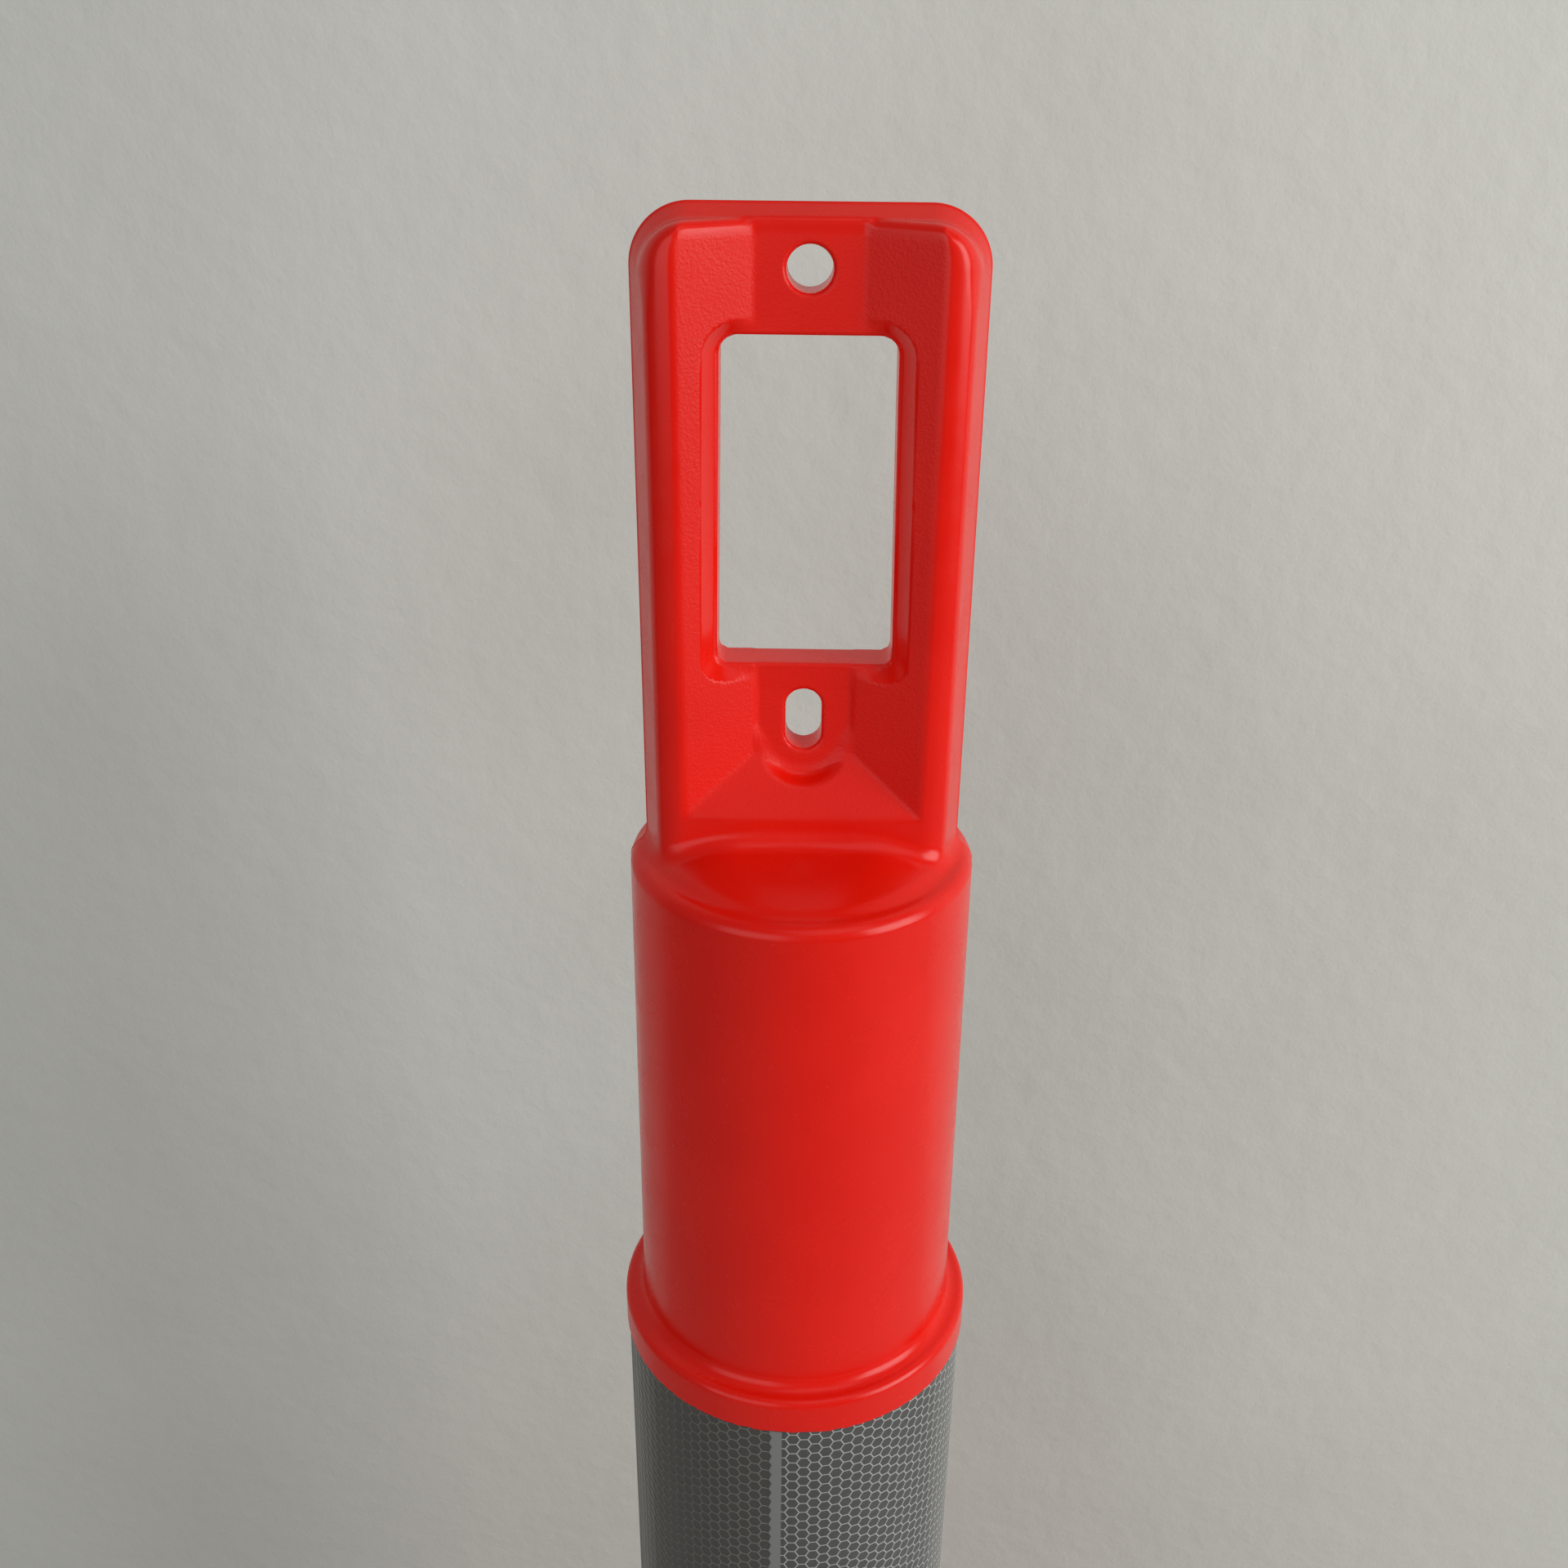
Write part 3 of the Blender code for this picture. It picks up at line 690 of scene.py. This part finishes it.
def film_material():
    """Sealed-cell film: pale walls round grey prismatic cells, under a clear skin, with one stretch
    painted darker as shade.
    """
    look = Shader("honeycomb_film")
    wall = look.node("ShaderNodeAttribute", attribute_name="wall").outputs["Fac"]
    mask = look.spread(wall, 0.25, 0.6, 0, 1)
    cell_dark, cell_pale = (0.056, 0.059, 0.060), (0.092, 0.095, 0.094)
    wall_unshaded = (0.60, 0.61, 0.60)
    # painted shade: darker cells and walls for the stretch by the film's end that faces away from the
    # light
    cell_shaded, wall_shaded = (0.058, 0.054, 0.047), (0.14, 0.132, 0.117)
    cell = look.blend(look.noise(500.0, 2.0), cell_dark, cell_pale)
    painted_shade = look.node("ShaderNodeAttribute", attribute_name="painted_shade").outputs["Fac"]
    unshaded = look.blend(mask, cell, wall_unshaded)
    shaded = look.blend(mask, cell_shaded, wall_shaded)
    # mixes the lit colours towards the painted shade where the attribute says so
    colour = look.blend(painted_shade, unshaded, shaded)
    look.join(colour, look.surface.inputs["Base Color"])
    look.join(look.spread(mask, 0, 1, 0.32, 0.42), look.surface.inputs["Roughness"])
    look.join(look.spread(mask, 0, 1, 0.15, 0.6), look.surface.inputs["Metallic"])
    look.set(Coat_Weight=0.5, Coat_Roughness=0.05)
    return look.material


def tube_material():
    """Extruded tube: the head's red, a little duller, with fine draw lines."""
    look = Shader("red_plastic_extruded")
    stretch = look.node("ShaderNodeMapping")
    stretch.inputs["Scale"].default_value = (1.0, 1.0, 0.02)
    look.join(look.place, stretch.inputs["Vector"])
    lines = look.node("ShaderNodeTexNoise")
    lines.inputs["Scale"].default_value = 700.0
    look.join(stretch.outputs["Vector"], lines.inputs["Vector"])
    tone = look.spread(look.noise(14.0, 3.0), 0.3, 0.7, 0, 1)
    deep, bright = (0.76, 0.016, 0.0075), (0.84, 0.021, 0.010)
    colour = look.blend(tone, deep, bright)
    look.join(colour, look.surface.inputs["Base Color"])
    look.join(look.spread(look.noise(60.0, 4.0), 0.3, 0.7, 0.34, 0.5), look.surface.inputs["Roughness"])
    look.bump(lines.outputs["Fac"], 0.00005, 0.5)
    return look.material


def rubber_material():
    """Recycled crumb rubber: near black, with pale crumbs and a dusty top."""
    look = Shader("crumb_rubber")
    crumbs = look.node("ShaderNodeTexVoronoi")
    crumbs.inputs["Scale"].default_value = 420.0
    look.join(look.place, crumbs.inputs["Vector"])
    tint = look.node("ShaderNodeSeparateColor")
    look.join(crumbs.outputs["Color"], tint.inputs["Color"])
    speck = look.spread(tint.outputs["Red"], 0.9, 0.97, 0, 1)
    dust = look.spread(look.noise(18.0, 5.0), 0.42, 0.7, 0, 1)
    black, dusty, crumb = (0.016, 0.016, 0.017), (0.040, 0.039, 0.037), (0.085, 0.083, 0.08)
    ground = look.blend(dust, black, dusty)
    look.join(look.blend(speck, ground, crumb), look.surface.inputs["Base Color"])
    look.join(look.spread(dust, 0, 1, 0.62, 0.88), look.surface.inputs["Roughness"])
    look.bump(crumbs.outputs["Distance"], 0.0006, 0.6)
    return look.material


def foot_material():
    """Black moulded plastic of the flange at the post's foot."""
    look = Shader("foot_plastic_moulded")
    tone = look.spread(look.noise(30.0, 3.0), 0.3, 0.7, 0, 1)
    black, worn = (0.018, 0.018, 0.019), (0.03, 0.03, 0.031)
    colour = look.blend(tone, black, worn)
    look.join(colour, look.surface.inputs["Base Color"])
    look.join(look.spread(look.noise(80.0, 4.0), 0.3, 0.7, 0.42, 0.6), look.surface.inputs["Roughness"])
    look.bump(look.noise(600.0, 2.0), 0.00008, 0.4)
    return look.material


def rivet_material():
    """Bare aluminium, lightly scuffed."""
    look = Shader("rivet_aluminium")
    tone = look.spread(look.noise(300.0, 4.0), 0.35, 0.65, 0, 1)
    dull, bright = (0.56, 0.57, 0.58), (0.72, 0.73, 0.74)
    look.join(look.blend(tone, dull, bright), look.surface.inputs["Base Color"])
    look.join(look.spread(look.noise(900.0, 3.0), 0.3, 0.7, 0.28, 0.48), look.surface.inputs["Roughness"])
    look.set(Metallic=1.0)
    return look.material


# ---------------------------------------------------------------- stage
def clear_behind(look):
    """Leaves only a surface's front showing, so it hides nothing from behind."""
    clear = look.node("ShaderNodeBsdfTransparent")
    side = look.node("ShaderNodeNewGeometry").outputs["Backfacing"]
    choose = look.node("ShaderNodeMixShader")
    look.join(side, choose.inputs["Fac"])
    look.join(look.surface.outputs["BSDF"], choose.inputs[1])
    look.join(clear.outputs["BSDF"], choose.inputs[2])
    look.join(choose.outputs["Shader"], look.tree.nodes["Material Output"].inputs["Surface"])


def painted(name, dark, pale, grain_height):
    """Matt painted plaster with a little trowel texture."""
    look = Shader(name)
    tone = look.spread(look.noise(3.0, 3.0), 0.3, 0.7, 0, 1)
    look.join(look.blend(tone, dark, pale), look.surface.inputs["Base Color"])
    look.set(Roughness=0.75)
    grain = look.math("ADD", look.noise(55.0, 5.0, 0.6), look.math("MULTIPLY", look.noise(9.0, 3.0), 1.5))
    look.bump(grain, grain_height, 0.35)
    clear_behind(look)
    return look.material


def add_sheet(name, corners, material):
    """One flat sheet of the surroundings."""
    mesh = mesh_from(name, corners, [(0, 1, 2, 3)], False)
    mesh.materials.append(material)
    sheet = bpy.data.objects.new(name, mesh)
    bpy.context.scene.collection.objects.link(sheet)


def make_stage():
    """A pale floor and the wall behind the post."""
    far, high, wall_y = 8000, 3200, 275
    pale = painted("painted_plaster", (0.63, 0.64, 0.60), (0.685, 0.695, 0.655), 0.0026)
    ground = painted("pale_floor", (0.40, 0.40, 0.385), (0.45, 0.45, 0.435), 0.001)
    ground_corners = [(-far, -far, 0), (far, -far, 0), (far, far, 0), (-far, far, 0)]
    wall_corners = [(x, wall_y, z) for x, z in ((-far, 0), (far, 0), (far, high), (-far, high))]
    add_sheet("floor", ground_corners, ground)
    add_sheet("wall", wall_corners, pale)


def add_light(name, place, aim, size, power, colour=(1.0, 1.0, 1.0)):
    lamp = bpy.data.lights.new(name, "AREA")
    lamp.shape = "RECTANGLE"
    lamp.size, lamp.size_y = size
    lamp.energy = power
    lamp.color = colour
    holder = bpy.data.objects.new(name, lamp)
    holder.location = Vector(place)
    holder.rotation_euler = (Vector(aim) - holder.location).to_track_quat("-Z", "Y").to_euler()
    bpy.context.scene.collection.objects.link(holder)


def make_lights():
    """Soft daylight from the right, weaker light from the front left and above."""
    post = (0.0, 0.0, 1.0)
    add_light("window", (2.1, -1.1, 1.55), post, (1.5, 1.7), 43.0, (1.0, 0.985, 0.96))
    add_light("doorway", (-1.25, -2.2, 1.5), post, (1.9, 1.9), 14.5)
    add_light("ceiling", (0.5, -1.0, 2.7), post, (1.4, 1.2), 3.8)
    world = bpy.data.worlds.new("room")
    bpy.context.scene.world = world
    world.use_nodes = True
    background = world.node_tree.nodes["Background"]
    background.inputs["Color"].default_value = (0.80, 0.80, 0.80, 1.0)
    background.inputs["Strength"].default_value = 0.25


def make_camera():
    """Looks down past the handle's top, a hand's height above it."""
    distance, height = 412.14, TOP_Z + 43.7
    pitch, yaw, roll = (math.radians(a) for a in (26.0745, 0.7328, 0.5496))
    lens = bpy.data.cameras.new("camera")
    lens.sensor_width = 36.0
    lens.lens = 36.75
    lens.clip_start = 0.01
    camera = bpy.data.objects.new("camera", lens)
    bpy.context.scene.collection.objects.link(camera)
    turn = (
        Matrix.Rotation(yaw, 4, "Z")
        @ Matrix.Rotation(math.pi / 2 - pitch, 4, "X")
        @ Matrix.Rotation(roll, 4, "Z")
    )
    camera.matrix_world = Matrix.Translation(Vector((0, -distance, height)) * MM) @ turn
    bpy.context.scene.camera = camera


def dress_cad(node, material):
    """Gives a CAD node that stays in view its finished material."""
    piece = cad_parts[node]
    piece.data.materials.clear()
    piece.data.materials.append(material)


def main():
    bpy.context.scene.view_settings.view_transform = "Standard"
    make_camera()
    make_lights()
    make_stage()
    make_head(red_plastic())
    make_film(film_material())
    softened("post_tube", "post", tube_material(), 0.5, 2)
    softened("foot_flange", "post", foot_material(), 0.8, 2)
    softened("rubber_base", "base", rubber_material(), 1.6, 3)
    metal = rivet_material()
    for place in ("head", "foot"):
        for number in range(1, 5):
            dress_cad(f"{place}_rivet_{number}", metal)


main()
